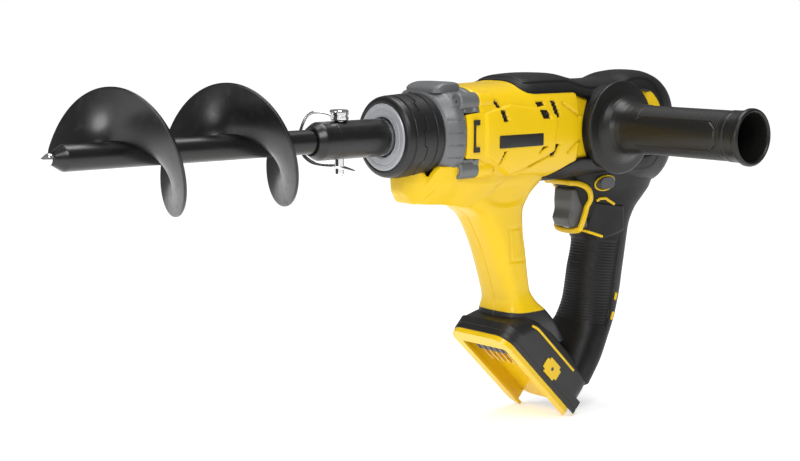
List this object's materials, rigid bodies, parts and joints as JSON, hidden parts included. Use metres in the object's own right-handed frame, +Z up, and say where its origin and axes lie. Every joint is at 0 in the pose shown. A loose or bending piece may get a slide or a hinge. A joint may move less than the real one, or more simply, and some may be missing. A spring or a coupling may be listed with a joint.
{
  "type": "soil auger",
  "caption": "Battery-powered hand auger: front column and rear pistol grip under a motor barrel, side handle, and a pinned helical auger bit on a geared spindle.",
  "frame": {"origin": "centre of the nose washer's front face, on the spindle axis", "axes": "+X backwards along the spindle axis from the auger to the rear grip, +Y to the tool's right, away from the side handle, +Z up"},
  "size_m": [0.535, 0.2005, 0.2529],
  "materials": {
    "housing_yellow": "satin moulded plastic",
    "cover_black": "soft overmould, satin",
    "foot_black": "fine textured",
    "case_grey": "cast and painted",
    "collar_black": "satin",
    "washer_grey": "satin with a bright edge",
    "auger_black": "gloss powder coat",
    "bright_steel": "polished",
    "plain_steel": "machined",
    "core_iron": "stacked sheet",
    "coil_copper": "enamelled copper wire",
    "contact_brass": "plated",
    "label_black": "smooth printed plate",
    "handle_black": "moulded, part textured",
    "control_grey": "fine satin",
    "inner_plastic": "moulded",
    "board_green": "lacquered"
  },
  "bodies": {
    "housing": {"housing_left": "housing_yellow", "housing_right": "housing_yellow", "trigger_bezel": "housing_yellow", "battery_base": "housing_yellow", "foot_strips": "housing_yellow", "foot_plugs": "housing_yellow", "top_cover": "cover_black", "grip_sleeve": "cover_black", "foot_shell": "foot_black", "terminal_block": "foot_black", "gear_case": "case_grey", "collar_front": "collar_black", "collar_rear": "collar_black", "nose_washer": "washer_grey", "case_screws": "plain_steel", "housing_screws": "plain_steel", "front_bearing_outer": "plain_steel", "gear_plate": "plain_steel", "ring_gear": "plain_steel", "motor_bearing_front": "plain_steel", "motor_bearing_rear": "plain_steel", "trigger_spring": "plain_steel", "handle_stud": "plain_steel", "handle_insert_left": "plain_steel", "handle_insert_right": "plain_steel", "stator": "core_iron", "stator_coils": "coil_copper", "terminal_blades": "contact_brass", "label_plates": "label_black", "clip_insets": "label_black", "side_handle": "handle_black", "trigger_switch": "inner_plastic", "nose_seal": "inner_plastic", "control_board": "board_green"},
    "spindle": {"drive_socket": "auger_black", "spindle_ring": "bright_steel", "output_carrier": "plain_steel", "front_bearing_inner": "plain_steel", "front_bearing_balls": "plain_steel", "auger_shaft": "auger_black", "auger_flight": "auger_black", "auger_tip": "bright_steel", "lock_pin": "bright_steel", "pin_bail": "bright_steel"},
    "stage_carrier": {"stage_carrier": "plain_steel"},
    "rotor": {"rotor_shaft": "plain_steel", "rotor_core": "core_iron", "cooling_fan": "inner_plastic"},
    "trigger": {"trigger": "control_grey"},
    "selector": {"direction_selector": "control_grey"},
    "planet_one_a": {"planet_one_a": "plain_steel"},
    "planet_one_b": {"planet_one_b": "plain_steel"},
    "planet_one_c": {"planet_one_c": "plain_steel"},
    "planet_two_a": {"planet_two_a": "plain_steel"},
    "planet_two_b": {"planet_two_b": "plain_steel"},
    "planet_two_c": {"planet_two_c": "plain_steel"}
  },
  "joints": [
    {"name": "spindle_spin", "type": "hinge", "parent": "housing", "child": "spindle", "pos_m": [0, 0, 0], "axis": [1, 0, 0], "continuous": true},
    {"name": "stage_carrier_spin", "type": "hinge", "parent": "housing", "child": "stage_carrier", "pos_m": [0.049, 0, 0], "axis": [1, 0, 0], "continuous": true},
    {"name": "rotor_spin", "type": "hinge", "parent": "housing", "child": "rotor", "pos_m": [0.12, 0, 0], "axis": [1, 0, 0], "continuous": true},
    {"name": "trigger_pull", "type": "slide", "parent": "housing", "child": "trigger", "axis": [1, 0, 0], "range_m": [0, 0.006], "stiffness_N_per_m": 600, "springref_m": -0.003, "deforming": ["trigger_spring"]},
    {"name": "selector_slide", "type": "slide", "parent": "housing", "child": "selector", "axis": [0, 1, 0], "range_m": [-0.0025, 0.0025]},
    {"name": "planet_one_a_spin", "type": "hinge", "parent": "stage_carrier", "child": "planet_one_a", "pos_m": [0.055, 0.0144, 0], "axis": [1, 0, 0], "continuous": true},
    {"name": "planet_one_b_spin", "type": "hinge", "parent": "stage_carrier", "child": "planet_one_b", "pos_m": [0.055, -0.0072, 0.01247], "axis": [1, 0, 0], "continuous": true},
    {"name": "planet_one_c_spin", "type": "hinge", "parent": "stage_carrier", "child": "planet_one_c", "pos_m": [0.055, -0.0072, -0.01247], "axis": [1, 0, 0], "continuous": true},
    {"name": "planet_two_a_spin", "type": "hinge", "parent": "spindle", "child": "planet_two_a", "pos_m": [0.0415, 0.0144, 0], "axis": [1, 0, 0], "continuous": true},
    {"name": "planet_two_b_spin", "type": "hinge", "parent": "spindle", "child": "planet_two_b", "pos_m": [0.0415, -0.0072, 0.01247], "axis": [1, 0, 0], "continuous": true},
    {"name": "planet_two_c_spin", "type": "hinge", "parent": "spindle", "child": "planet_two_c", "pos_m": [0.0415, -0.0072, -0.01247], "axis": [1, 0, 0], "continuous": true}
  ],
  "couplings": [
    {"joint": "stage_carrier_spin", "follows": "spindle_spin", "ratio": 6},
    {"joint": "rotor_spin", "follows": "spindle_spin", "ratio": 36},
    {"joint": "planet_one_a_spin", "follows": "spindle_spin", "ratio": -15},
    {"joint": "planet_one_b_spin", "follows": "spindle_spin", "ratio": -15},
    {"joint": "planet_one_c_spin", "follows": "spindle_spin", "ratio": -15},
    {"joint": "planet_two_a_spin", "follows": "spindle_spin", "ratio": -2.5},
    {"joint": "planet_two_b_spin", "follows": "spindle_spin", "ratio": -2.5},
    {"joint": "planet_two_c_spin", "follows": "spindle_spin", "ratio": -2.5}
  ]
}
